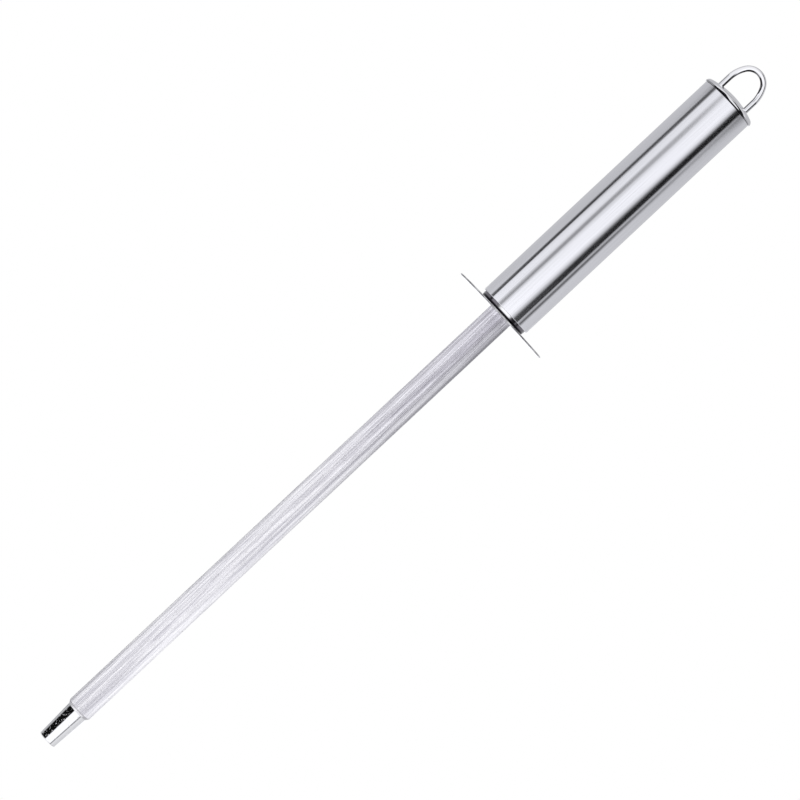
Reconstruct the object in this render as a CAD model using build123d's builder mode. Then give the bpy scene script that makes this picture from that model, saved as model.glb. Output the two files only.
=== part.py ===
from build123d import *
import math
import os

# Knife sharpening steel, hung by its loop. A ribbed steel rod with a polished tip passes through a thin
# round guard and is bolted into a tubular steel handle, which is closed by a drawn cap at each end.
#
# Millimetres. +Z points up along the steel's axis, from the tip to the hanging loop. X runs across the
# loop's width and Y is normal to the loop's plane. The origin is the highest inside point of the loop's
# bend, where a hook carries the steel.

# Rod
rod_length = 300.0  # exposed, from the guard's front face to the tip
rod_d = 13.6  # over the rib crests
rib_count = 60
rib_depth = 0.24
rib_crest_share = 0.25  # of the rib pitch, flat on top
shoulder_length = 1.5  # the ribs run out in this bevel
shoulder_d = 11.7
tip_length = 20.2
tip_d = 9.8
tip_edge_round = 0.5

# Guard
guard_d = 56.0
guard_thickness = 0.8
guard_edge_round = 0.35
seat_depth = 0.2  # a coined seat for the rod's shoulder
seat_clearance = 0.1

# Handle tube
tube_d = 29.3
tube_wall = 0.95
tube_length = 146.4

# Caps, both drawn from sheet
cap_sheet = 0.8
collar_length = 2.8  # of the front cap, seen between the guard and the tube
front_cap_round = 1.5
front_skirt_length = 10.0  # inside the tube
rear_cap_d = 30.5
rear_cap_height = 4.7
rear_rim_round = 0.4
dome_shoulder_round = 2.0
rear_skirt_length = 8.0

# Hanging loop and the plate that its ends are headed under
wire_d = 3.0
loop_leg_spacing = 17.0  # centre to centre
loop_rise = 22.9  # top of the wire above the tube's rear end
loop_hole_d = 3.2
bend_top_radius = 7.2  # of the wire's centre line over the bend's top
bend_side_radius = 16.7  # of the centre line where the legs lean in
plate_thickness = 3.0
plate_clearance = 0.05
plate_drop = 1.5  # below the tube's rear end, to the plate's upper face
head_d = 4.6
head_height = 1.3
head_round = 0.9

# M8 fastening of the rod's tang
tang_d = 8.0
tang_hole_d = 8.4
tang_end_chamfer = 1.0
backing_washer_d = 24.0
backing_washer_thickness = 3.0
spring_washer_d = 14.6
spring_washer_bore = 8.2
spring_washer_thickness = 2.0
spring_washer_gap = 1.2
spring_washer_gap_tilt = 25.0  # degrees
nut_across_flats = 13.0
nut_height = 6.5
nut_chamfer_angle = 30.0
tang_past_nut = 3.0

# Stations along the axis, from the hook's seat down to the tip
bend_top_z = wire_d / 2
bend_centre_z = bend_top_z - bend_top_radius
side_centre_x = bend_side_radius - loop_leg_spacing / 2
bend_drop = math.sqrt((bend_side_radius - bend_top_radius) ** 2 - side_centre_x**2)
bend_z = bend_centre_z - bend_drop
bend_lean = math.degrees(math.atan2(bend_drop, side_centre_x))
rear_end_z = wire_d - loop_rise
dome_top_z = rear_end_z + rear_cap_height
plate_top_z = rear_end_z - plate_drop
plate_bottom_z = plate_top_z - plate_thickness
front_end_z = rear_end_z - tube_length
guard_back_z = front_end_z - collar_length
guard_front_z = guard_back_z - guard_thickness
rod_seat_z = guard_front_z + seat_depth
tip_end_z = guard_front_z - rod_length
tip_root_z = tip_end_z + tip_length
shoulder_z = tip_root_z + shoulder_length
cap_floor_z = guard_back_z + cap_sheet
spring_washer_z = cap_floor_z + backing_washer_thickness
nut_z = spring_washer_z + spring_washer_thickness
tang_end_z = nut_z + nut_height + tang_past_nut

rod_r = rod_d / 2
tube_bore_r = tube_d / 2 - tube_wall
skirt_inner_r = tube_bore_r - cap_sheet
loop_leg_x = loop_leg_spacing / 2
both_legs = [(-loop_leg_x, 0), (loop_leg_x, 0)]


def polar(radius, angle):
    """A point at a radius and an angle in degrees."""
    return (radius * math.cos(math.radians(angle)), radius * math.sin(math.radians(angle)))


def rib_outline():
    """The rod's section: crests with flat tops, and V-shaped grooves between them."""
    pitch = 360 / rib_count
    half_crest = pitch * rib_crest_share / 2
    points = []
    for i in range(rib_count):
        points.append(polar(rod_r, i * pitch - half_crest))
        points.append(polar(rod_r, i * pitch + half_crest))
        points.append(polar(rod_r - rib_depth, (i + 0.5) * pitch))
    return points


# The rod is one bar: ribbed length, bevelled shoulder, smooth tapered tip and a plain tang for the nut.
with BuildPart() as sharpening_rod:
    with BuildSketch(Plane.XY.offset(tip_root_z)):
        Polygon(*rib_outline(), align=None)
    extrude(amount=rod_seat_z - tip_root_z)
    # Only the bevel of this envelope touches the ribs: it slopes from the shoulder to the tip's root.
    bevel_slope = (rod_r - shoulder_d / 2) / shoulder_length
    envelope_r = rod_r + 1.0
    with BuildSketch(Plane.XZ):
        with BuildLine():
            Polyline(
                (0, tip_root_z - 1),
                (shoulder_d / 2 - bevel_slope, tip_root_z - 1),
                (envelope_r, shoulder_z + (envelope_r - rod_r) / bevel_slope),
                (envelope_r, rod_seat_z + 1),
                (0, rod_seat_z + 1),
                close=True,
            )
        make_face()
    revolve(axis=Axis.Z, mode=Mode.INTERSECT)
    with BuildSketch(Plane.XY.offset(tip_root_z)):
        Circle(shoulder_d / 2)
    with BuildSketch(Plane.XY.offset(tip_end_z)):
        Circle(tip_d / 2)
    loft()
    tip_rim = sharpening_rod.edges().group_by(Axis.Z)[0]
    fillet(tip_rim, radius=tip_edge_round)
    with BuildSketch(Plane.XY.offset(rod_seat_z)):
        Circle(tang_d / 2)
    extrude(amount=tang_end_z - rod_seat_z)
    tang_rim = sharpening_rod.edges().group_by(Axis.Z)[-1]
    chamfer(tang_rim, length=tang_end_chamfer)

# A thin stamped disc that keeps the blade off the hand. The rod's shoulder sits in a shallow seat in it.
with BuildPart() as guard_disc:
    with BuildSketch(Plane.XY.offset(guard_front_z)):
        Circle(guard_d / 2)
        Circle(tang_hole_d / 2, mode=Mode.SUBTRACT)
    extrude(amount=guard_thickness)
    guard_rim = guard_disc.edges().filter_by(GeomType.CIRCLE).sort_by(SortBy.RADIUS)[-2:]
    fillet(guard_rim, radius=guard_edge_round)
    with BuildSketch(Plane.XY.offset(guard_front_z)):
        Circle(rod_r + seat_clearance)
    extrude(amount=seat_depth, mode=Mode.SUBTRACT)

# The front cap is a drawn cup, pressed into the tube up to its collar.
with BuildPart() as front_cap:
    with BuildSketch(Plane.XY.offset(guard_back_z)):
        Circle(tube_bore_r)
    extrude(amount=collar_length + front_skirt_length)
    front_rim = front_cap.edges().group_by(Axis.Z)[0]
    fillet(front_rim, radius=front_cap_round)
    with BuildSketch(Plane.XY.offset(cap_floor_z)):
        Circle(skirt_inner_r)
    extrude(amount=collar_length + front_skirt_length, mode=Mode.SUBTRACT)
    floor_rim = front_cap.edges().filter_by_position(Axis.Z, cap_floor_z, cap_floor_z)
    fillet(floor_rim, radius=front_cap_round - cap_sheet)
    with BuildSketch(Plane.XY.offset(guard_back_z)):
        Circle(tang_hole_d / 2)
    extrude(amount=cap_sheet, mode=Mode.SUBTRACT)

# Three fasteners inside the front cap clamp the guard and the cap against the rod's shoulder.
with BuildPart() as backing_washer:
    with BuildSketch(Plane.XY.offset(cap_floor_z)):
        Circle(backing_washer_d / 2)
        Circle(tang_hole_d / 2, mode=Mode.SUBTRACT)
    extrude(amount=backing_washer_thickness)
    washer_rim = backing_washer.edges().filter_by(GeomType.CIRCLE).sort_by(SortBy.RADIUS)[-2:]
    chamfer(washer_rim, length=0.3)

with BuildPart() as spring_washer:
    with BuildSketch(Plane.XY.offset(spring_washer_z)):
        Circle(spring_washer_d / 2)
        Circle(spring_washer_bore / 2, mode=Mode.SUBTRACT)
    extrude(amount=spring_washer_thickness)
    gap_middle = (spring_washer_d / 2, 0, spring_washer_z + spring_washer_thickness / 2)
    gap_plane = Plane(gap_middle, x_dir=(1, 0, 0), z_dir=(0, 0, 1)).rotated((spring_washer_gap_tilt, 0, 0))
    with BuildSketch(gap_plane.offset(-2 * spring_washer_thickness)):
        Rectangle(spring_washer_d, spring_washer_gap)
    extrude(amount=4 * spring_washer_thickness, mode=Mode.SUBTRACT)

with BuildPart() as tang_nut:
    with BuildSketch(Plane.XY.offset(nut_z)):
        RegularPolygon(nut_across_flats / 2, 6, major_radius=False)
    extrude(amount=nut_height)
    # The corners of both ends are turned away at a flat angle.
    corner_r = nut_across_flats / 2 / math.cos(math.radians(30))
    corner_drop = (corner_r - nut_across_flats / 2) * math.tan(math.radians(nut_chamfer_angle))
    with BuildSketch(Plane.XZ):
        with BuildLine():
            Polyline(
                (0, nut_z),
                (nut_across_flats / 2, nut_z),
                (corner_r, nut_z + corner_drop),
                (corner_r, nut_z + nut_height - corner_drop),
                (nut_across_flats / 2, nut_z + nut_height),
                (0, nut_z + nut_height),
                close=True,
            )
        make_face()
    revolve(axis=Axis.Z, mode=Mode.INTERSECT)
    with BuildSketch(Plane.XY.offset(nut_z)):
        Circle(tang_d / 2)
    extrude(amount=nut_height, mode=Mode.SUBTRACT)

# The handle is a plain length of tube.
with BuildPart() as handle_tube:
    with BuildSketch(Plane.XY.offset(front_end_z)):
        Circle(tube_d / 2)
        Circle(tube_bore_r, mode=Mode.SUBTRACT)
    extrude(amount=tube_length)

# The rear cap is drawn to a shallow dome, folded back under its rim and pressed into the tube. The dome's
# crown and its shoulder are arcs that meet in a tangent.
with BuildPart() as rear_cap:
    dome_foot_z = rear_end_z + rear_rim_round
    dome_height = dome_top_z - dome_foot_z
    shoulder_centre_r = rear_cap_d / 2 - dome_shoulder_round
    crown_r = (shoulder_centre_r**2 + dome_height**2 - dome_shoulder_round**2) / (
        2 * (dome_height - dome_shoulder_round)
    )
    crown_centre_z = dome_top_z - crown_r
    tangent_angle = math.degrees(math.atan2(dome_foot_z - crown_centre_z, shoulder_centre_r))
    inner_crown_r = crown_r - cap_sheet
    skirt_angle = math.degrees(math.acos(skirt_inner_r / inner_crown_r))
    skirt_bottom_z = rear_end_z - rear_skirt_length
    with BuildSketch(Plane.XZ):
        with BuildLine():
            crown = CenterArc((0, crown_centre_z), crown_r, tangent_angle, 90 - tangent_angle)
            CenterArc((shoulder_centre_r, dome_foot_z), dome_shoulder_round, 0, tangent_angle)
            rim = CenterArc((rear_cap_d / 2 - rear_rim_round, dome_foot_z), rear_rim_round, -90, 90)
            inner_crown = CenterArc((0, crown_centre_z), inner_crown_r, skirt_angle, 90 - skirt_angle)
            Polyline(
                rim @ 0,
                (tube_bore_r, rear_end_z),
                (tube_bore_r, skirt_bottom_z),
                (skirt_inner_r, skirt_bottom_z),
                inner_crown @ 0,
            )
            Line(inner_crown @ 1, crown @ 1)
        make_face()
    revolve(axis=Axis.Z)
    with BuildSketch(Plane.XY.offset(rear_end_z)):
        with Locations(*both_legs):
            Circle(loop_hole_d / 2)
    extrude(amount=rear_cap_height, mode=Mode.SUBTRACT)

# A thick plate lies under the dome and carries the loop's pull.
with BuildPart() as loop_anchor_plate:
    with BuildSketch(Plane.XY.offset(plate_bottom_z)):
        Circle(skirt_inner_r - plate_clearance)
        with Locations(*both_legs):
            Circle(loop_hole_d / 2, mode=Mode.SUBTRACT)
    extrude(amount=plate_thickness)
    plate_rim = loop_anchor_plate.edges().filter_by(GeomType.CIRCLE).sort_by(SortBy.RADIUS)[-2:]
    chamfer(plate_rim, length=0.3)

# The loop is one U of round wire. Its legs lean in a little before the bend proper, and its two ends
# are headed over under the plate.
lean_join_x, lean_join_rise = polar(bend_side_radius, bend_lean)
lean_mid_x, lean_mid_rise = polar(bend_side_radius, bend_lean / 2)
join_x = lean_join_x - side_centre_x
join_z = bend_z + lean_join_rise
mid_x = lean_mid_x - side_centre_x
mid_z = bend_z + lean_mid_rise
with BuildPart() as hanging_loop:
    with BuildLine(Plane.XZ) as wire_route:
        left_leg = Line((-loop_leg_x, plate_bottom_z), (-loop_leg_x, bend_z))
        left_lean = ThreePointArc(left_leg @ 1, (-mid_x, mid_z), (-join_x, join_z))
        bend = ThreePointArc(left_lean @ 1, (0, bend_top_z), (join_x, join_z))
        right_lean = ThreePointArc(bend @ 1, (mid_x, mid_z), (loop_leg_x, bend_z))
        Line(right_lean @ 1, (loop_leg_x, plate_bottom_z))
    with BuildSketch(Plane((-loop_leg_x, 0, plate_bottom_z))):
        Circle(wire_d / 2)
    sweep(path=wire_route.wires()[0])
    with BuildSketch(Plane.XY.offset(plate_bottom_z)):
        with Locations(*both_legs):
            Circle(head_d / 2)
    extrude(amount=-head_height)
    head_rims = hanging_loop.edges().group_by(Axis.Z)[0]
    fillet(head_rims, radius=head_round)

pieces = {
    "sharpening_rod": sharpening_rod,
    "guard_disc": guard_disc,
    "front_cap": front_cap,
    "backing_washer": backing_washer,
    "spring_washer": spring_washer,
    "tang_nut": tang_nut,
    "handle_tube": handle_tube,
    "rear_cap": rear_cap,
    "loop_anchor_plate": loop_anchor_plate,
    "hanging_loop": hanging_loop,
}
os.makedirs("parts", exist_ok=True)
for name, piece in pieces.items():
    piece.part.label = name
    export_step(piece.part, f"parts/{name}.step")
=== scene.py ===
# %% [markdown]
# # A knife sharpening steel, one piece at a time
#
# A butcher draws a knife along this rod to straighten its edge. The rod is one bar of hard steel with
# fine lengthwise ribs and a smooth polished tip. A thin round guard keeps the blade off the hand, and
# the handle is a steel tube with a pressed cap in each end. A wire loop carries it on a hook.
#
# All of it is bright metal, so this lesson is mostly about two things: clean turned shapes, because a
# mirror shows every dent in a mesh, and a room that is worth reflecting.
#
# The frame gives every size and place in metres. +Z runs up the steel from its tip to the loop, X runs
# across the loop, and the origin is where a hook touches the loop from below.

# %% Load the frame
import math

import bmesh
import bpy
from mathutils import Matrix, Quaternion, Vector


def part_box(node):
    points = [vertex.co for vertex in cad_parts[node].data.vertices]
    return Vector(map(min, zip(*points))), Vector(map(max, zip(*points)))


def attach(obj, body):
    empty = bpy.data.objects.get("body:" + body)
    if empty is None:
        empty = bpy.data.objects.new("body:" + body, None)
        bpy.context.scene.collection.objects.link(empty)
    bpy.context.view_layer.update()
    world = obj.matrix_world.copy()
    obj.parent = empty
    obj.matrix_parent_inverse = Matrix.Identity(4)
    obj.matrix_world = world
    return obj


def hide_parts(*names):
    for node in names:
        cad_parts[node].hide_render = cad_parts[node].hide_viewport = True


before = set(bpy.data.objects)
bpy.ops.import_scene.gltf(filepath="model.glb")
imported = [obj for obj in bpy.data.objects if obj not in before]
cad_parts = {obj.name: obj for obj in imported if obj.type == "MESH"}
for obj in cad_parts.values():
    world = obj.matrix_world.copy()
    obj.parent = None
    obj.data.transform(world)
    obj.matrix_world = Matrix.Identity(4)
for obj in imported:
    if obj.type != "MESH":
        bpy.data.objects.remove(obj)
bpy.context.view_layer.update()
print("frame pieces:", sorted(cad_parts))

# %% [markdown]
# ## Stations along the steel
#
# Every piece shares one axis, so a height and a radius say almost everything. The heights are read from
# the frame's boxes, which keeps the pieces in step with the design when it changes. What a box can't
# say, such as how long the tip is, is a named length.

# %% Heights and radii
MM = 0.001

rod_low, rod_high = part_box("sharpening_rod")
guard_low, guard_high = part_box("guard_disc")
front_low, front_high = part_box("front_cap")
tube_low, tube_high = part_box("handle_tube")
rear_low, rear_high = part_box("rear_cap")
plate_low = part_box("loop_anchor_plate")[0]
loop_low, loop_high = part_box("hanging_loop")

TIP_LENGTH = 20.2 * MM
SHOULDER_LENGTH = 1.5 * MM
SHOULDER_RADIUS = 5.85 * MM
TIP_RADIUS = 4.9 * MM
RIB_DEPTH = 0.24 * MM
SEAT_DEPTH = 0.2 * MM
SEAT_RADIUS = 6.9 * MM
TANG_RADIUS = 4.0 * MM
TANG_HOLE_RADIUS = 4.2 * MM
TUBE_WALL = 0.95 * MM
SHEET = 0.8 * MM
WIRE_RADIUS = 1.5 * MM
BEND_TOP_RADIUS = 7.2 * MM
BEND_SIDE_RADIUS = 16.7 * MM

rod_radius = rod_high.x
tube_radius = tube_high.x
bore_radius = tube_radius - TUBE_WALL
leg_x = 8.5 * MM

# the wire's centre line: a leg, a side arc that leans in, and the arc over the top
bend_centre_z = loop_high.z - WIRE_RADIUS - BEND_TOP_RADIUS
side_centre_x = BEND_SIDE_RADIUS - leg_x
bend_drop = math.sqrt((BEND_SIDE_RADIUS - BEND_TOP_RADIUS) ** 2 - side_centre_x**2)
bend_z = bend_centre_z - bend_drop
bend_lean = math.atan2(bend_drop, side_centre_x)
print("rod radius", rod_radius, "tube radius", tube_radius, "loop bend at", bend_z)

# %% [markdown]
# ## The camera
#
# It stands 1.69 m in front of the steel and looks at it almost square on with a long lens, so the guard
# is seen edge-on and the tube hardly narrows. The camera is rolled by 47 degrees, which lays the steel
# from the lower left to the upper right of the picture.

# %% Camera
CAMERA_DISTANCE = 1.69
CAMERA_ROLL = math.radians(46.90)
CAMERA_LENS = 157.4
CAMERA_SIDE = -3.37 * MM
CAMERA_HEIGHT = -205.3 * MM
AIM_HEIGHT = -232.7 * MM
camera_data = bpy.data.cameras.new("camera")
camera_data.lens = CAMERA_LENS
camera_data.sensor_width = 36.0
camera = bpy.data.objects.new("camera", camera_data)
bpy.context.scene.collection.objects.link(camera)
camera.location = (CAMERA_SIDE, -CAMERA_DISTANCE, CAMERA_HEIGHT)
aim = Vector((CAMERA_SIDE, 0, AIM_HEIGHT))
level = (aim - camera.location).to_track_quat("-Z", "Y")
camera.rotation_mode = "QUATERNION"
camera.rotation_quaternion = level @ Quaternion((0, 0, 1), CAMERA_ROLL)
bpy.context.scene.camera = camera
bpy.context.scene.view_settings.view_transform = "Standard"
print("camera", tuple(camera.location), "lens", camera_data.lens)

# %% [markdown]
# ## Tools for turned pieces
#
# Apart from the loop and the rod's ribs, every new piece could come off a lathe. Three ways make such a
# shape: spin a drawn profile, stack primitives, or take one circle and extrude it from station to
# station, scaling it as it goes. The last is used, because each ring then lies exactly where its station
# says.
#
# Smooth shading blends the normals of neighbouring faces. Beside a rounded edge that would bend the
# reflection in a long straight wall, so each long run gets a holding ring close to both of its ends.

# %% Helpers: stations, rings and a clean finish
SIDES = 256
HOLD = 0.1 * MM
MERGE = 0.5e-6


def arc(centre, radius, start, end, steps=10):
    """Stations on an arc. Angles are in degrees: 0 points away from the axis and 90 points up."""
    angles = [math.radians(start + (end - start) * i / steps) for i in range(steps + 1)]
    return [(centre[0] + radius * math.cos(a), centre[1] + radius * math.sin(a)) for a in angles]


def held(stations):
    """The same stations, with a holding ring near both ends of each long straight run."""
    kept = [stations[0]]
    for here, there in zip(stations, stations[1:]):
        run = math.dist(here, there)
        if run > 4 * HOLD:
            for share in (HOLD / run, 1 - HOLD / run):
                kept.append(tuple(a + (b - a) * share for a, b in zip(here, there)))
        kept.append(there)
    return kept


def start_ring(name, radius, place, sides=SIDES):
    """A new piece that is one circle, with edit mode on and the circle selected."""
    bpy.ops.object.select_all(action="DESELECT")
    bpy.ops.mesh.primitive_circle_add(vertices=sides, radius=radius, location=place)
    bpy.ops.object.transform_apply(location=True, rotation=True, scale=True)
    piece = bpy.context.object
    piece.name = name
    piece.data.name = name
    bpy.ops.object.mode_set(mode="EDIT")
    bpy.ops.mesh.select_mode(type="VERT")
    bpy.ops.mesh.select_all(action="SELECT")
    return piece


def pick(wanted):
    """Selects the points of the piece in edit mode for which wanted(place) is true."""
    mesh = bpy.context.object.data
    shape = bmesh.from_edit_mesh(mesh)
    for point in shape.verts:
        point.select = bool(wanted(point.co))
    shape.select_flush_mode()
    bmesh.update_edit_mesh(mesh)


def on_ring(radius, height):
    """A test for pick: is a place on the circle of this radius at this height?"""
    return lambda at: abs(at.z - height) < MERGE and abs(at.xy.length - radius) < MERGE


def next_ring(rise, scale, axis_at=(0, 0, 0)):
    """Extrudes the selected ring up by rise, and scales it about a line parallel to Z."""
    bpy.ops.mesh.extrude_region_move(TRANSFORM_OT_translate={"value": (0, 0, rise)})
    bpy.ops.transform.resize(value=(scale, scale, 1), center_override=axis_at)


def run_rings(stations, axis_at=(0, 0, 0)):
    """Extrudes the selected ring from the first station through all the others."""
    for (radius, height), (next_radius, next_height) in zip(stations, stations[1:]):
        next_ring(next_height - height, next_radius / radius, axis_at)


def close_end():
    """Fills the selected ring with a fan of triangles round a middle point."""
    bpy.ops.mesh.edge_face_add()
    bpy.ops.mesh.poke()


def finish_piece(piece, smooth_angle=35):
    """Merges doubles, turns all faces outwards and smooths the shading."""
    bpy.ops.mesh.select_all(action="SELECT")
    bpy.ops.mesh.remove_doubles(threshold=MERGE)
    bpy.ops.mesh.normals_make_consistent(inside=False)
    bpy.ops.object.mode_set(mode="OBJECT")
    bpy.ops.object.shade_smooth_by_angle(angle=math.radians(smooth_angle))
    print(piece.name, "faces:", len(piece.data.polygons))
    return piece


def turned(name, stations, sides=SIDES):
    """A ring-shaped piece: its section is the closed outline through the stations."""
    outline = held(stations + [stations[0]])
    radius, height = outline[0]
    piece = start_ring(name, radius, (0, 0, height), sides)
    run_rings(outline)
    return finish_piece(piece)


# %% [markdown]
# ## The rod
#
# The rod is drawn through a die that leaves sixty fine ribs. Bump alone would do at a distance, but then
# the outline of the rod and its ends stay smooth, and a close view shows it. So the ribs are real: one
# ring has ten points for each rib, and the points in the groove are scaled in towards the axis.
#
# At the shoulder the ribs run out in a bevel. There the crest points come in to the root circle, and
# from that ring on the bar is round and polished.

# %% Rod: one ribbed ring
RIBS = 60
# how deep each of a rib's ten points lies, as a share of the rib's depth, from the crest round
rib_drop = [0.0, 0.04, 0.30, 0.62, 0.90, 1.0, 0.90, 0.62, 0.30, 0.04]
points_per_rib = len(rib_drop)
root_radius = rod_radius - RIB_DEPTH
tip_z = rod_low.z
tip_root_z = tip_z + TIP_LENGTH
shoulder_z = tip_root_z + SHOULDER_LENGTH
seat_z = guard_low.z + SEAT_DEPTH
bevel_slope = (rod_radius - SHOULDER_RADIUS) / SHOULDER_LENGTH
run_out_z = shoulder_z - RIB_DEPTH / bevel_slope


def press_ribs(height, drop_before, drop_after):
    """Scales the points of the ring at this height, one place on the rib after another."""
    step = 2 * math.pi / (RIBS * points_per_rib)
    for place, (before, after) in enumerate(zip(drop_before, drop_after)):
        pick(
            lambda at: abs(at.z - height) < MERGE
            and round(math.atan2(at.y, at.x) / step) % points_per_rib == place
        )
        scale = (rod_radius - RIB_DEPTH * after) / (rod_radius - RIB_DEPTH * before)
        bpy.ops.transform.resize(value=(scale, scale, 1), center_override=(0, 0, 0))
    pick(lambda at: abs(at.z - height) < MERGE)


rod = start_ring("sharpening_rod_ribbed", rod_radius, (0, 0, seat_z), RIBS * points_per_rib)
press_ribs(seat_z, [0.0] * points_per_rib, rib_drop)
for rise in (-HOLD, shoulder_z + 2 * HOLD - seat_z, -HOLD):
    next_ring(rise, 1)
print("ribbed ring:", RIBS, "ribs of", points_per_rib, "points")

# %% [markdown]
# The first ring is now carried down to the shoulder. Next come the run-out of the ribs, the polished
# cone with its rounded end, and at the other end the plain tang that goes through guard and front cap.

# %% Rod: run-out, tip and tang
next_ring(run_out_z - shoulder_z, 1)
press_ribs(run_out_z, rib_drop, [1.0] * points_per_rib)
END_ROUND = 0.5 * MM
tip_slope = math.degrees(math.atan((SHOULDER_RADIUS - TIP_RADIUS) / TIP_LENGTH))
run_rings(
    held(
        [(root_radius, run_out_z), (SHOULDER_RADIUS, tip_root_z)]
        + arc((TIP_RADIUS - END_ROUND, tip_z + END_ROUND), END_ROUND, -tip_slope, -90)
        + [(TIP_RADIUS - 2 * END_ROUND, tip_z)]
    )
)
close_end()

TANG_CHAMFER = 1.0 * MM
pick(lambda at: abs(at.z - seat_z) < MERGE)
run_rings(
    held(
        [
            (rod_radius, seat_z),
            (TANG_RADIUS, seat_z),
            (TANG_RADIUS, rod_high.z - TANG_CHAMFER),
            (TANG_RADIUS - TANG_CHAMFER, rod_high.z),
        ]
    )
)
close_end()
finish_piece(rod, smooth_angle=50)  # wide enough for the folds in a groove, which reach 38 degrees

# %% [markdown]
# ## The guard
#
# The guard is a disc stamped from 0.8 mm sheet. Its rim is rounded, because it passes through a cook's
# fingers, and the rod's shoulder sits in a shallow seat pressed into its front. A disc with a bevel
# would give the rim, but not the seat, so the whole section is one closed outline.

# %% Guard
RIM_ROUND = 0.35 * MM
guard_radius = guard_high.x
guard = turned(
    "guard_plate",
    [(TANG_HOLE_RADIUS, guard_high.z)]
    + arc((guard_radius - RIM_ROUND, guard_high.z - RIM_ROUND), RIM_ROUND, 90, 0, 6)
    + arc((guard_radius - RIM_ROUND, guard_low.z + RIM_ROUND), RIM_ROUND, 0, -90, 6)
    + [
        (SEAT_RADIUS, guard_low.z),
        (SEAT_RADIUS, seat_z),
        (TANG_HOLE_RADIUS, seat_z),
    ],
)

# %% [markdown]
# ## The front cap
#
# Both caps are drawn from sheet like bottle tops. The front one shows only its rounded collar between
# the guard and the tube. Its skirt is pressed into the tube, so it is as wide as the tube's bore.

# %% Front cap
COLLAR_ROUND = 1.5 * MM
skirt_radius = bore_radius - SHEET
front_cap = turned(
    "front_cap_polished",
    [(TANG_HOLE_RADIUS, front_low.z)]
    + arc((bore_radius - COLLAR_ROUND, front_low.z + COLLAR_ROUND), COLLAR_ROUND, -90, 0, 16)
    + [(bore_radius, front_high.z), (skirt_radius, front_high.z)]
    + arc((bore_radius - COLLAR_ROUND, front_low.z + COLLAR_ROUND), COLLAR_ROUND - SHEET, 0, -90, 8)
    + [(TANG_HOLE_RADIUS, front_low.z + SHEET)],
)

# %% [markdown]
# ## The handle tube
#
# A plain piece of steel tube. Only the outer edges of its two ends are broken by a small radius, where
# they could cut a hand.

# %% Handle tube
TUBE_EDGE = 0.2 * MM
handle_tube = turned(
    "handle_tube_satin",
    arc((tube_radius - TUBE_EDGE, tube_low.z + TUBE_EDGE), TUBE_EDGE, -90, 0, 5)
    + arc((tube_radius - TUBE_EDGE, tube_high.z - TUBE_EDGE), TUBE_EDGE, 0, 90, 5)
    + [(bore_radius, tube_high.z), (bore_radius, tube_low.z)],
)

# %% [markdown]
# ## The rear cap
#
# A shallow dome whose rim is folded back over the end of the tube. Its crown is part of a large sphere,
# and its shoulder is a small arc that meets the crown in a tangent. The crown's radius follows from the
# dome's height.

# %% Rear cap
DOME_ROUND = 2.0 * MM
FOLD_ROUND = 0.4 * MM
NEARLY_TOP = 89.4  # degrees: the fan at the pole closes what is left
cap_radius = rear_high.x
foot_z = tube_high.z + FOLD_ROUND
dome_height = rear_high.z - foot_z
shoulder_centre = cap_radius - DOME_ROUND
crown_radius = (shoulder_centre**2 + dome_height**2 - DOME_ROUND**2) / (2 * (dome_height - DOME_ROUND))
crown_z = rear_high.z - crown_radius
tangent = math.degrees(math.atan2(foot_z - crown_z, shoulder_centre))
inner_crown = crown_radius - SHEET
inner_start = math.degrees(math.acos(skirt_radius / inner_crown))

stations = held(
    arc((0, crown_z), crown_radius, NEARLY_TOP, tangent, 24)
    + arc((shoulder_centre, foot_z), DOME_ROUND, tangent, 0, 14)[1:]
    + arc((cap_radius - FOLD_ROUND, foot_z), FOLD_ROUND, 0, -90, 6)[1:]
    + [
        (bore_radius, tube_high.z),
        (bore_radius, rear_low.z),
        (skirt_radius, rear_low.z),
    ]
    + arc((0, crown_z), inner_crown, inner_start, NEARLY_TOP, 12)
)
rear_cap = start_ring("rear_cap_domed", stations[0][0], (0, 0, stations[0][1]))
run_rings(stations)
close_end()
pick(on_ring(*stations[0]))
close_end()
finish_piece(rear_cap)

# %% [markdown]
# The two holes for the loop's legs could be left out, since the wire nearly fills them. But a thin ring
# of shadow round each leg tells that the wire goes in. A boolean cuts them through the finished dome.

# %% Rear cap: the two holes for the loop
HOLE_RADIUS = 1.6 * MM
for side in (-1, 1):
    bpy.ops.object.select_all(action="DESELECT")
    bpy.ops.mesh.primitive_cylinder_add(
        vertices=48, radius=HOLE_RADIUS, depth=2 * dome_height, location=(side * leg_x, 0, rear_high.z)
    )
    drill = bpy.context.object
    bpy.ops.object.select_all(action="DESELECT")
    rear_cap.select_set(True)
    bpy.context.view_layer.objects.active = rear_cap
    cut = rear_cap.modifiers.new("hole", "BOOLEAN")
    cut.operation = "DIFFERENCE"
    cut.solver = "EXACT"
    cut.object = drill
    bpy.ops.object.modifier_apply(modifier=cut.name)
    bpy.data.objects.remove(drill)
bpy.ops.object.shade_smooth_by_angle(angle=math.radians(35))
print(rear_cap.name, "with holes, faces:", len(rear_cap.data.polygons))

# %% [markdown]
# ## The hanging loop
#
# The loop is one length of drawn wire, bent round a pin and headed over under a plate inside the cap.
# A curve with a round bevel would give the wire, but the heads need a mesh anyway. So half of the loop
# is drawn as a mesh: a head and a straight leg, then two spins. The first leans the leg in on a wide
# arc, and the second carries it to the top on a tight one. Mirror makes the rest.

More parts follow.
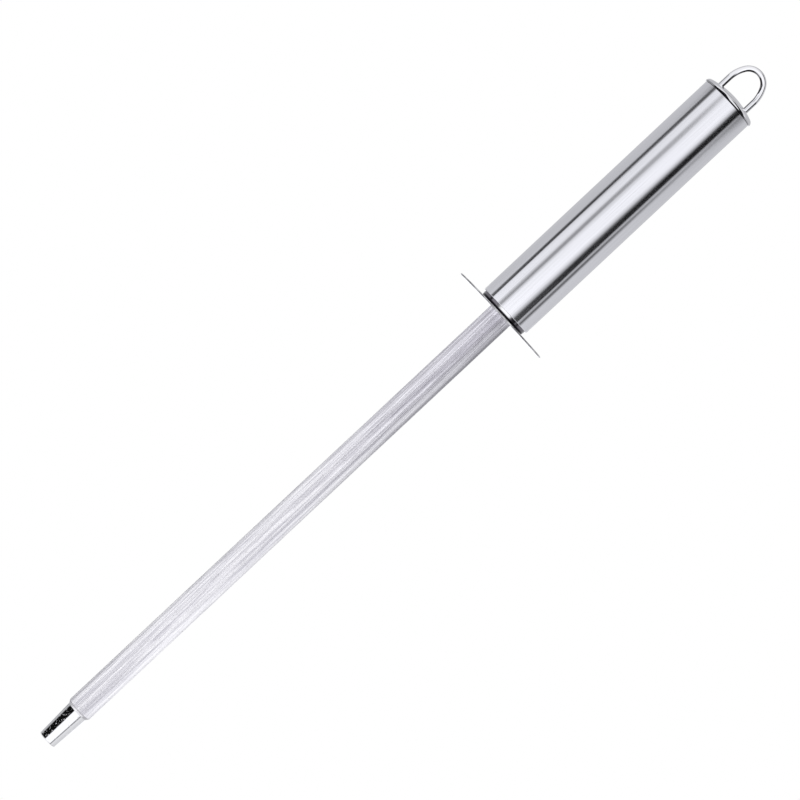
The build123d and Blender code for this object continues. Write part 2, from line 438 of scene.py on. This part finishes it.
# %% Hanging loop
WIRE_SIDES = 48
HEAD_RADIUS = 2.3 * MM
HEAD_ROUND = 0.9 * MM
CORE_RADIUS = WIRE_RADIUS * 0.5  # the flat middle of a head
SPIN_AXIS = (0, -1, 0)
left_leg = (-leg_x, 0, 0)
head_bottom = loop_low.z
loop = start_ring("hanging_loop_wire", CORE_RADIUS, (-leg_x, 0, head_bottom), WIRE_SIDES)
run_rings(
    held(
        [(CORE_RADIUS, head_bottom)]
        + arc((HEAD_RADIUS - HEAD_ROUND, head_bottom + HEAD_ROUND), HEAD_ROUND, -90, 0, 8)
        + [(HEAD_RADIUS, plate_low.z), (WIRE_RADIUS, plate_low.z), (WIRE_RADIUS, bend_z)]
    ),
    left_leg,
)
bpy.ops.mesh.spin(steps=16, angle=bend_lean, center=(side_centre_x, 0, bend_z), axis=SPIN_AXIS)
bend_rest = math.pi / 2 - bend_lean
bpy.ops.mesh.spin(steps=30, angle=bend_rest, center=(0, 0, bend_centre_z), axis=SPIN_AXIS)
pick(lambda at: abs(at.z - head_bottom) < MERGE and abs(abs(at.x) - leg_x) < 1.2 * CORE_RADIUS)
close_end()
bpy.ops.object.mode_set(mode="OBJECT")
mirror = loop.modifiers.new("other half", "MIRROR")
mirror.use_clip = True
mirror.merge_threshold = MERGE
bpy.ops.object.modifier_apply(modifier=mirror.name)
bpy.ops.object.mode_set(mode="EDIT")
finish_piece(loop, smooth_angle=40)

# %% [markdown]
# ## Finishes
#
# Bright metal has almost no colour of its own, so a finish is told by its roughness, its fine lines and
# small changes of tone. Each finish below is one Principled shader, fully metallic, with noise that is
# stretched along the way the metal was worked: lengthwise on drawn wire and ground ribs, and round the
# axis on a cap that was polished while it turned.
#
# The noise reads Object coordinates. All the pieces have their origin in the frame's origin, so a
# pattern sits still on the metal.

# %% Helpers: metals with worked lines
def metal(name, roughness):
    """A metallic material, its node tree and its shader."""
    finish = bpy.data.materials.new(name)
    finish.use_nodes = True
    tree = finish.node_tree
    shader = tree.nodes["Principled BSDF"]
    shader.inputs["Metallic"].default_value = 1.0
    shader.inputs["Roughness"].default_value = roughness
    return finish, tree, shader


def node(tree, kind, operation=None, **sockets):
    """Adds a node, with an operation if it has one, and with plain values in its sockets."""
    made = tree.nodes.new(kind)
    if operation:
        made.operation = operation
    for socket, value in sockets.items():
        made.inputs[socket].default_value = value
    return made


def math_node(tree, operation, *values):
    """Arithmetic on numbers and links."""
    made = node(tree, "ShaderNodeMath", operation)
    for socket, value in zip(made.inputs, values):
        if isinstance(value, (int, float)):
            socket.default_value = value
        else:
            tree.links.new(value, socket)
    return made.outputs["Value"]


def mixed(tree, factor, first, second, blend="MIX"):
    """A colour mix. Each colour is a link or four numbers."""
    mix = tree.nodes.new("ShaderNodeMix")
    mix.data_type = "RGBA"
    mix.blend_type = blend
    if isinstance(factor, (int, float)):
        mix.inputs["Factor"].default_value = factor
    else:
        tree.links.new(factor, mix.inputs["Factor"])
    # a colour mix has its own pair of sockets behind those for numbers and vectors
    for socket, colour in zip(mix.inputs[6:8], (first, second)):
        if isinstance(colour, tuple):
            socket.default_value = colour
        else:
            tree.links.new(colour, socket)
    return mix.outputs[2]


def mixed_by(tree, blend, first, second):
    """Adds or multiplies two colours."""
    return mixed(tree, 1.0, first, second, blend)


def spread(tree, value, low, high, from_low=0.3, from_high=0.7):
    """Maps a value, most often a noise, to the range from low to high."""
    scale = tree.nodes.new("ShaderNodeMapRange")
    for socket, number in zip(scale.inputs[1:5], (from_low, from_high, low, high)):
        socket.default_value = number
    tree.links.new(value, scale.inputs["Value"])
    return scale.outputs["Result"]


def part_of(tree, axis):
    """One of the Object coordinates."""
    split = tree.nodes.new("ShaderNodeSeparateXYZ")
    tree.links.new(node(tree, "ShaderNodeTexCoord").outputs["Object"], split.inputs["Vector"])
    return split.outputs[axis]


def height_of(tree):
    """How high a point of the metal lies in the frame."""
    return part_of(tree, "Z")


def reach_of(tree):
    """How far a point of the metal lies from the steel's axis."""
    across, behind = part_of(tree, "X"), part_of(tree, "Y")
    square = math_node(tree, "MULTIPLY_ADD", across, across, math_node(tree, "MULTIPLY", behind, behind))
    return math_node(tree, "SQRT", square)


def stretched_noise(tree, across, along, detail=3.0, turned_round=False):
    """Noise in streaks: their width and length in metres. Turned, they run round the axis."""
    place = node(tree, "ShaderNodeTexCoord").outputs["Object"]
    if turned_round:
        join = tree.nodes.new("ShaderNodeCombineXYZ")
        tree.links.new(reach_of(tree), join.inputs["X"])
        tree.links.new(height_of(tree), join.inputs["Z"])
        place = join.outputs["Vector"]
    size = tree.nodes.new("ShaderNodeMapping")
    size.inputs["Scale"].default_value = (1 / across, 1 / across, 1 / along)
    tree.links.new(place, size.inputs["Vector"])
    noise = node(tree, "ShaderNodeTexNoise", Scale=1.0, Detail=detail, Roughness=0.6)
    tree.links.new(size.outputs["Vector"], noise.inputs["Vector"])
    return noise.outputs["Fac"]


def colour_ramp(tree, value, stops):
    """A colour ramp over a value from 0 to 1, with (position, colour) pairs in rising order."""
    ramp = node(tree, "ShaderNodeValToRGB")
    marks = ramp.color_ramp.elements
    for n, (position, colour) in enumerate(stops):
        # a new ramp already has two marks
        mark = marks[n] if n < 2 else marks.new(1.0)
        mark.position = position
        mark.color = colour
    tree.links.new(value, ramp.inputs["Fac"])
    return ramp.outputs["Color"]


def tint(tree, shader, value, dark, light):
    """Colours the surface from dark to light by a value from 0 to 1."""
    tree.links.new(mixed(tree, value, (*dark, 1), (*light, 1)), shader.inputs["Base Color"])


# %% [markdown]
# The tube and the caps share one thing: painted shade, a dark line along the seam where they meet. It is
# in both finishes, so it lies on both sides of the seam. It is thickest a little left of the middle. The
# front cap has painted shade in the corner behind the guard and on the sides of its collar, which leaves
# a painted highlight in the middle.

# %% Finishes: tube, caps and guard
# colour of the painted shade in the front cap's corner and of the painted dark reflection in the wire's
# bend
PAINTED_DARK = (0.012, 0.010, 0.014, 1)
SEAM_THIN, SEAM_SIDE, SEAM_THICK = 0.45 * MM, 0.70 * MM, 1.15 * MM
CORNER_HEIGHT = 1.75 * MM


def seam_painted_shade(tree, unshaded_colour):
    """The unshaded colour with a dark line of painted shade along the seam under the rear cap's rim."""
    height, across = height_of(tree), part_of(tree, "X")
    above = spread(tree, height, 0, 1, tube_high.z - 0.34 * MM, tube_high.z - 0.20 * MM)
    widening = spread(tree, across, SEAM_SIDE, SEAM_THICK, -9.0 * MM, -4.5 * MM)
    narrowing = spread(tree, across, SEAM_THICK, SEAM_THIN, -3.6 * MM, -0.2 * MM)
    fill = math_node(tree, "MINIMUM", widening, narrowing)
    over = math_node(tree, "SUBTRACT", height, fill)
    below = spread(tree, over, 1, 0, tube_high.z - 0.05 * MM, tube_high.z + 0.05 * MM)
    # painted shade: a dark line along the seam, made lighter towards the outer sides
    line = math_node(tree, "MULTIPLY", above, below)
    sides = spread(tree, math_node(tree, "ABSOLUTE", across), 1.0, 0.45, 9.8 * MM, 11.2 * MM)
    return mixed(tree, math_node(tree, "MULTIPLY", line, sides), unshaded_colour, (0.010, 0.009, 0.012, 1))


def satin_tube():
    """Stainless tube, polished lengthwise until it mirrors softly."""
    finish, tree, shader = metal("satin_tube_steel", 0.09)
    streaks = stretched_noise(tree, 0.3 * MM, 60 * MM)
    satin = mixed(tree, spread(tree, streaks, 0, 1), (0.82, 0.82, 0.85, 1), (0.90, 0.90, 0.94, 1))
    tree.links.new(seam_painted_shade(tree, satin), shader.inputs["Base Color"])
    tree.links.new(spread(tree, streaks, 0.07, 0.14), shader.inputs["Roughness"])
    return finish


def polished_cap():
    """Drawn steel, polished bright while it turned."""
    finish, tree, shader = metal("polished_cap_steel", 0.06)
    rings = stretched_noise(tree, 0.15 * MM, 0.15 * MM, turned_round=True)
    bright = mixed(tree, spread(tree, rings, 0, 1), (0.82, 0.82, 0.84, 1), (0.90, 0.90, 0.92, 1))
    tree.links.new(seam_painted_shade(tree, bright), shader.inputs["Base Color"])
    tree.links.new(spread(tree, rings, 0.05, 0.10), shader.inputs["Roughness"])
    return finish


def painted_collar_cap():
    """The front cap: painted shade behind the guard and on the collar's sides, a painted highlight
    between.
    """
    finish, tree, shader = metal("cap_steel_painted_shade_and_highlight", 0.10)
    patchy = stretched_noise(tree, 1.5 * MM, 1.5 * MM)
    across = math_node(tree, "ABSOLUTE", part_of(tree, "X"))
    wobble = math_node(tree, "MULTIPLY_ADD", patchy, 3.0 * MM, across)
    # painted shade on the sides of the collar, which leaves a painted highlight in its middle
    painted_side_shade = spread(tree, wobble, 0, 1, 4.6 * MM, 6.6 * MM)
    corner_top = front_low.z + CORNER_HEIGHT
    # painted shade in the corner behind the guard
    corner_shade = spread(tree, height_of(tree), 1, 0, corner_top - 0.5 * MM, corner_top)
    collar_highlight_and_shade = mixed(tree, painted_side_shade, (0.92, 0.92, 0.93, 1), (0.20, 0.19, 0.21, 1))
    tree.links.new(mixed(tree, corner_shade, collar_highlight_and_shade, PAINTED_DARK), shader.inputs["Base Color"])
    return finish


def rolled_guard():
    """Bright rolled sheet with a darker sheared rim."""
    finish, tree, shader = metal("rolled_guard_steel", 0.12)
    rings = stretched_noise(tree, 0.2 * MM, 0.2 * MM, turned_round=True)
    specks = stretched_noise(tree, 5 * MM, 5 * MM, detail=1.0)
    sheared = spread(tree, reach_of(tree), 0, 1, guard_radius - 0.45 * MM, guard_radius - 0.25 * MM)
    blotch = spread(tree, specks, 0, 1, 0.45, 0.60)
    rim = mixed(tree, blotch, (0.38, 0.38, 0.39, 1), (0.66, 0.66, 0.67, 1))
    tree.links.new(mixed(tree, sheared, (0.82, 0.82, 0.83, 1), rim), shader.inputs["Base Color"])
    tree.links.new(spread(tree, rings, 0.10, 0.18), shader.inputs["Roughness"])
    return finish


# %% [markdown]
# The rod's chrome is brighter towards the tip and darker towards the guard. Near the guard one side also
# has painted shade. Bumps for the pits on the tip would be too small to show, so they are small spots of
# roughness.
#
# The wire has a painted dark reflection on the inside of its bend. The shader finds the inside from the
# direction towards the middle of the loop and from how far the metal faces that way. A ramp over the
# angle round the bend says how thick the painted dark line is.

# %% Finishes: rod and wire
RIB_ROUGHNESS = 0.22
# heights between which the rod's tone darkens from the tip's tone to the guard's
DARKENING_FROM, DARKENING_TO = -300 * MM, -172 * MM
# angle round the bend in degrees, from the right leg over the top to the left leg, and how much painted
# dark reflection lies there
DARK_LINE_STOPS = (
    (0, 0.55), (30, 0.62), (40, 1.0), (68, 1.0), (80, 0.62), (98, 0.58), (112, 1.0), (150, 1.0),
    (180, 0.92),
)


def plated_rod():
    """Hard chrome: satin on the ribs, and a mirror with a few dull pits on the tip."""
    finish, tree, shader = metal("plated_rod_steel", 0.2)
    height = height_of(tree)
    broad = stretched_noise(tree, 1.35 * MM, 90 * MM, detail=1.0)
    fine = stretched_noise(tree, 0.35 * MM, 16 * MM, detail=2.0)
    light = spread(tree, math_node(tree, "MULTIPLY_ADD", fine, 0.9, broad), 0, 1, 0.72, 1.18)
    tip_tone = mixed(tree, light, (0.62, 0.61, 0.65, 1), (1.0, 0.99, 1.0, 1))
    near_guard = mixed(tree, light, (0.50, 0.485, 0.53, 1), (0.94, 0.925, 0.98, 1))
    # painted shade: near the guard, the rod is darker on its +X side
    painted_shade_side = spread(tree, part_of(tree, "X"), 0, 0.42, 0.5 * MM, 5.0 * MM)
    near_guard_shaded = mixed(tree, painted_shade_side, near_guard, (0.20, 0.20, 0.21, 1))
    ribs = mixed(tree, spread(tree, height, 0, 1, DARKENING_FROM, DARKENING_TO), tip_tone, near_guard_shaded)
    on_ribs = spread(tree, height, 0, 1, tip_root_z - 0.2 * MM, tip_root_z + 1.0 * MM)
    tree.links.new(mixed(tree, on_ribs, (0.88, 0.88, 0.89, 1), ribs), shader.inputs["Base Color"])
    pits = stretched_noise(tree, 1.0 * MM, 0.7 * MM, detail=1.0)
    mirror = spread(tree, pits, 0.02, 0.36, 0.57, 0.70)
    rough = math_node(tree, "MAXIMUM", mirror, spread(tree, on_ribs, 0, RIB_ROUGHNESS, 0, 1))
    tree.links.new(rough, shader.inputs["Roughness"])
    return finish


def drawn_wire():
    """Bright wire with faint lengthwise die marks, and a painted dark reflection on the inside of the
    bend.
    """
    finish, tree, shader = metal("bright_wire_steel", 0.06)
    marks = stretched_noise(tree, 0.2 * MM, 6 * MM)
    bright = mixed(tree, marks, (0.84, 0.84, 0.86, 1), (0.92, 0.92, 0.94, 1))
    across, height = part_of(tree, "X"), height_of(tree)
    middle = math_node(tree, "MINIMUM", height, bend_centre_z)
    inward = tree.nodes.new("ShaderNodeCombineXYZ")
    tree.links.new(math_node(tree, "MULTIPLY", across, -1), inward.inputs["X"])
    tree.links.new(math_node(tree, "SUBTRACT", middle, height), inward.inputs["Z"])
    straight = node(tree, "ShaderNodeVectorMath", "NORMALIZE")
    tree.links.new(inward.outputs["Vector"], straight.inputs[0])
    facing = node(tree, "ShaderNodeVectorMath", "DOT_PRODUCT")
    tree.links.new(straight.outputs["Vector"], facing.inputs[0])
    tree.links.new(node(tree, "ShaderNodeTexCoord").outputs["Normal"], facing.inputs[1])
    rise = math_node(tree, "SUBTRACT", height, middle)
    round_bend = spread(tree, math_node(tree, "ARCTAN2", rise, across), 0, 1, 0, math.pi)
    stops = [(degrees / 180, (thick, thick, thick, 1)) for degrees, thick in DARK_LINE_STOPS]
    painted_dark_amount = colour_ramp(tree, round_bend, stops)
    reach_in = math_node(tree, "MULTIPLY_ADD", painted_dark_amount, 0.35, facing.outputs["Value"])
    edge = spread(tree, reach_in, 0, 1, 0.75, 0.95)
    # painted dark reflection on the inside of the bend
    scale = math_node(tree, "MULTIPLY", edge, painted_dark_amount)
    tree.links.new(mixed(tree, scale, bright, PAINTED_DARK), shader.inputs["Base Color"])
    return finish


# %% [markdown]
# The washers, the nut and the anchor plate sit inside the handle. They keep their CAD meshes, but a
# cutaway should show them as what they are: zinc plate on the fasteners, bare rolled plate on the anchor.

# %% Finishes: the fasteners inside the handle
def zinc_plate():
    """Zinc: a fine dull spangle with a bluish cast."""
    finish, tree, shader = metal("zinc_plated_steel", 0.4)
    spangle = node(tree, "ShaderNodeTexVoronoi", Scale=1 / (0.8 * MM))
    tree.links.new(node(tree, "ShaderNodeTexCoord").outputs["Object"], spangle.inputs["Vector"])
    grain = spread(tree, spangle.outputs["Distance"], 0, 1, 0.1, 0.9)
    tint(tree, shader, grain, (0.50, 0.53, 0.57), (0.72, 0.74, 0.77))
    tree.links.new(spread(tree, spangle.outputs["Distance"], 0.32, 0.5, 0, 1), shader.inputs["Roughness"])
    return finish


def rolled_plate():
    """Plain hot-rolled plate: dark, with blotches of scale."""
    finish, tree, shader = metal("rolled_plate_steel", 0.45)
    scale = stretched_noise(tree, 3 * MM, 3 * MM, detail=5.0)
    tint(tree, shader, spread(tree, scale, 0, 1), (0.22, 0.21, 0.21), (0.48, 0.48, 0.50))
    tree.links.new(spread(tree, scale, 0.38, 0.6), shader.inputs["Roughness"])
    return finish


finishes = {
    "rod_steel": plated_rod(),
    "guard_steel": rolled_guard(),
    "cap_steel": polished_cap(),
    "tube_steel": satin_tube(),
    "wire_steel": drawn_wire(),
    "zinc_plate": zinc_plate(),
    "plain_steel": rolled_plate(),
}
print("finishes:", ", ".join(finish.name for finish in finishes.values()))

# %% [markdown]
# Each new piece takes the place of its CAD node and hangs on the one body of the frame. The two caps
# share a material slot, but the front cap wears its own version of the finish.

# %% Dress the pieces and hang them on the frame
for piece, slot, cad_node in (
    (rod, "rod_steel", "sharpening_rod"),
    (guard, "guard_steel", "guard_disc"),
    (front_cap, "cap_steel", "front_cap"),
    (handle_tube, "tube_steel", "handle_tube"),
    (rear_cap, "cap_steel", "rear_cap"),
    (loop, "wire_steel", "hanging_loop"),
):
    piece.data.materials.clear()
    piece.data.materials.append(finishes[slot])
    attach(piece, "root")
    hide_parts(cad_node)
front_cap.data.materials[0] = painted_collar_cap()

for cad_node, slot in (
    ("backing_washer", "zinc_plate"),
    ("spring_washer", "zinc_plate"),
    ("tang_nut", "zinc_plate"),
    ("loop_anchor_plate", "plain_steel"),
):
    carried = bpy.data.objects[cad_node]
    carried.data.materials.clear()
    carried.data.materials.append(finishes[slot])
    print(cad_node, "keeps its CAD mesh in", finishes[slot].name)

# %% [markdown]
# ## The studio
#
# A product photographer lights bright metal with white walls and black cards, because the metal shows
# nothing but the room. The same is done here with a world of pale and dark bands. A band is placed by its
# azimuth, counted from straight behind the camera towards +X, since an upright cylinder turns azimuth
# into distance across its width.
#
# The tip, the rod, the part of the rod near the guard, the two ends of the tube and the loop look into
# the room at different heights, so each has its own row of bands. Above and below the rows, a dark ring
# round the camera's axis draws the thin dark line on the dome and helps the one in the wire's bend. The
# camera itself sees plain white.

# %% Helpers: bands of light
def bands(tree, turned_by, stops):
    """Brightness round the room, faintly blue, from pairs of an angle in degrees and a brightness."""
    marks = []
    for degrees, bright in stops:
        marks.append(((degrees + 180) / 360, (bright, bright * 1.005, bright * 1.035, 1)))
    return colour_ramp(tree, turned_by, marks)


def angle_between(tree, angle, start, end):
    """0 below the start angle, 1 above the end angle, both in degrees."""
    return spread(tree, angle, 0, 1, math.radians(start), math.radians(end))


# %% [markdown]
# The directions come first: azimuth and elevation for the rows, and for the ring the angle away from
# the camera's axis and the clock angle round it. Then follow the rows. Their order from below is tip,
# rod, guard, front of the tube, rear of the tube, loop.

# %% Studio: directions and rows
world = bpy.data.worlds.new("studio")
world.use_nodes = True
bpy.context.scene.world = world
sky = world.node_tree
looking = node(sky, "ShaderNodeTexCoord").outputs["Generated"]
direction = node(sky, "ShaderNodeSeparateXYZ")
sky.links.new(looking, direction.inputs["Vector"])
to_camera = math_node(sky, "MULTIPLY", direction.outputs["Y"], -1)
azimuth = math_node(sky, "ARCTAN2", direction.outputs["X"], to_camera)
elevation = math_node(sky, "ARCSINE", direction.outputs["Z"])
off_axis = math_node(sky, "ARCCOSINE", to_camera)
clock = math_node(sky, "ARCTAN2", direction.outputs["Z"], direction.outputs["X"])
turn = spread(sky, azimuth, 0, 1, -math.pi, math.pi)
clock_turn = spread(sky, clock, 0, 1, -math.pi, math.pi)

front_row = bands(
    sky,
    turn,
    [
        (-180, 0.60), (-93, 0.58), (-87, 0.05), (-78, 0.03), (-74, 0.84), (-48, 0.86), (-41, 0.55),
        (-36, 0.27), (-31, 0.27), (-24, 0.72), (-14, 0.98), (20, 1.0), (28, 0.85), (38, 0.42),
        (44, 0.10), (49, 0.01), (64, 0.01), (67, 0.45), (72, 0.45), (76, 0.10), (82, 0.09),
        (88, 0.55), (94, 0.66), (179, 0.60),
    ],
)
rear_row = bands(
    sky,
    turn,
    [
        (-180, 0.60), (-91, 0.58), (-85, 0.08), (-76, 0.03), (-67, 0.80), (-46, 0.88), (-39, 0.55),
        (-34, 0.33), (-29, 0.33), (-20, 0.72), (-10, 0.98), (22, 1.0), (30, 0.86), (38, 0.50),
        (45, 0.12), (50, 0.01), (63, 0.01), (67, 0.30), (72, 0.62), (78, 0.45), (85, 0.50),
        (92, 0.60), (179, 0.60),
    ],
)
guard_row = bands(
    sky,
    turn,
    [
        (-180, 1.30), (-158, 1.20), (-148, 0.62), (-93, 0.70), (-87, 0.10), (-78, 0.08), (-74, 0.98),
        (-48, 1.10), (-41, 0.80), (-36, 0.30), (-31, 0.30), (-24, 0.90), (-14, 1.15), (20, 1.15),
        (28, 0.95), (38, 0.50), (44, 0.12), (49, 0.01), (63, 0.01), (66, 0.50), (72, 0.50), (76, 0.10),
        (82, 0.09), (88, 0.55), (94, 0.66), (148, 0.62), (158, 1.20), (179, 1.30),
    ],
)
rod_row = bands(
    sky,
    turn,
    [
        (-180, 1.20), (-160, 1.0), (-150, 0.05), (-112, 0.05), (-102, 1.0), (-40, 1.15), (-10, 1.35),
        (25, 1.35), (50, 1.15), (110, 1.10), (165, 1.15), (179, 1.20),
    ],
)
tip_row = bands(
    sky,
    turn,
    [
        (-180, 0.60), (-150, 0.56), (-112, 0.50), (-100, 0.005), (-27, 0.005), (-20, 1.15), (50, 1.15),
        (57, 0.28), (64, 0.28), (70, 0.85), (100, 0.75), (150, 0.66), (179, 0.60),
    ],
)
loop_row = bands(
    sky,
    turn,
    [
        (-180, 0.60), (-112, 0.50), (-98, 0.20), (-78, 0.15), (-68, 0.90), (28, 1.0), (38, 0.5),
        (45, 0.01), (92, 0.01), (108, 0.40), (120, 0.58), (179, 0.60),
    ],
)
ring_row = bands(
    sky,
    clock_turn,
    [
        (-180, 0.10), (-155, 0.75), (-125, 1.0), (-105, 0.6), (-75, 0.4), (-50, 0.85), (-20, 1.0),
        (75, 1.0), (88, 0.45), (110, 0.10), (179, 0.05),
    ],
)
print("rows and ring, studio nodes:", len(sky.nodes))

# %% [markdown]
# Each row holds for a range of elevation and gives way to the next one. Above and below them the room is
# white on the camera's side and grey on the far side, so that outlines stand out from the white. The
# pairs of numbers say where a change starts and where it is complete.

# %% Studio: put the room together
ROD_TO_GUARD = (-6.0, 1.0)
GUARD_TO_FRONT = (1.16, 1.24)
FRONT_TO_REAR = (3.0, 5.2)
REAR_TO_LOOP = (6.36, 6.42)
ROD_TO_TIP = (-9.6, -10.4)
ABOVE_ROWS = (8.0, 11.0)
BELOW_ROWS = (-20.0, -24.0)
RING_INNER, RING_OUTER = (46, 54), (84, 76)
rows = mixed(sky, angle_between(sky, elevation, *FRONT_TO_REAR), front_row, rear_row)
rows = mixed(sky, angle_between(sky, elevation, *REAR_TO_LOOP), rows, loop_row)
lower_rows = mixed(sky, angle_between(sky, elevation, *ROD_TO_GUARD), rod_row, guard_row)
rows = mixed(sky, angle_between(sky, elevation, *GUARD_TO_FRONT), lower_rows, rows)
rows = mixed(sky, angle_between(sky, elevation, *ROD_TO_TIP), rows, tip_row)
ring_in = angle_between(sky, off_axis, *RING_INNER)
ring_out = angle_between(sky, off_axis, *RING_OUTER)
ring = mixed_by(sky, "MULTIPLY", mixed_by(sky, "MULTIPLY", ring_in, ring_out), ring_row)
far_side = angle_between(sky, off_axis, 75, 105)
overhead = angle_between(sky, elevation, 60, 72)
underneath = angle_between(sky, elevation, -52, -60)
far_tone = mixed(sky, overhead, (0.56, 0.56, 0.58, 1), (0.34, 0.34, 0.35, 1))
room = mixed(sky, far_side, (1.0, 1.0, 1.02, 1), far_tone)
room = mixed(sky, ring, room, (0.005, 0.005, 0.006, 1))
room = mixed(sky, underneath, room, (1.05, 1.05, 1.07, 1))
rows = mixed(sky, angle_between(sky, elevation, *ABOVE_ROWS), rows, room)
rows = mixed(sky, angle_between(sky, elevation, *BELOW_ROWS), rows, room)
ray = node(sky, "ShaderNodeLightPath")
seen = mixed(sky, ray.outputs["Is Camera Ray"], rows, (1, 1, 1, 1))
sky.links.new(seen, sky.nodes["Background"].inputs["Color"])
print("studio nodes:", len(sky.nodes))

# %% [markdown]
# ## Floor and light
#
# The steel hangs above a pale floor. The floor fades into the white room towards its edge, so no horizon
# crosses the picture. One large soft lamp overhead lights it. Neither may show in the metal, which has
# its own room to mirror.

# %% Floor
FLOOR_RADIUS = 1.0
FLOOR_HEIGHT = -0.65
FADE_FROM, FADE_TO = 0.35, 0.75
bpy.ops.object.select_all(action="DESELECT")
bpy.ops.mesh.primitive_circle_add(
    vertices=96, radius=FLOOR_RADIUS, fill_type="NGON", location=(0, 0, FLOOR_HEIGHT)
)
floor = bpy.context.object
floor.name = "floor"
floor.visible_glossy = False
bpy.ops.object.transform_apply(location=True, rotation=True, scale=True)
floor_finish = bpy.data.materials.new("pale_floor")
floor_finish.use_nodes = True
ground = floor_finish.node_tree
paint = ground.nodes["Principled BSDF"]
paint.inputs["Roughness"].default_value = 0.8
mottle = node(ground, "ShaderNodeTexNoise", Scale=9.0, Detail=3.0)
ground.links.new(node(ground, "ShaderNodeTexCoord").outputs["Object"], mottle.inputs["Vector"])
tint(ground, paint, spread(ground, mottle.outputs["Fac"], 0, 1), (0.88, 0.88, 0.88), (0.91, 0.91, 0.91))
glow = node(ground, "ShaderNodeEmission", Strength=1.0)
glow.inputs["Color"].default_value = (1, 1, 1, 1)
blend = ground.nodes.new("ShaderNodeMixShader")
ground.links.new(spread(ground, reach_of(ground), 0, 1, FADE_FROM, FADE_TO), blend.inputs["Fac"])
ground.links.new(paint.outputs["BSDF"], blend.inputs[1])
ground.links.new(glow.outputs["Emission"], blend.inputs[2])
ground.links.new(blend.outputs["Shader"], ground.nodes["Material Output"].inputs["Surface"])
floor.data.materials.append(floor_finish)
print("floor radius", FLOOR_RADIUS, "at", FLOOR_HEIGHT)

# %% [markdown]
# The lamp is a wide disc, because a small one would cast a hard shadow. Metal has no diffuse colour, so
# a lamp that mirrors can't see lights the floor alone.

# %% Lamp
LAMP_WIDTH = 1.6
LAMP_HEIGHT = 1.4
LAMP_WATTS = 14.0
lamp_data = bpy.data.lights.new("overhead lamp", "AREA")
lamp_data.shape = "DISK"
lamp_data.size = LAMP_WIDTH
lamp_data.energy = LAMP_WATTS
lamp = bpy.data.objects.new("overhead lamp", lamp_data)
bpy.context.scene.collection.objects.link(lamp)
lamp.location = (0, 0, LAMP_HEIGHT)
lamp.visible_glossy = False
lamp.visible_camera = False
print("lamp:", LAMP_WATTS, "W at", LAMP_HEIGHT)
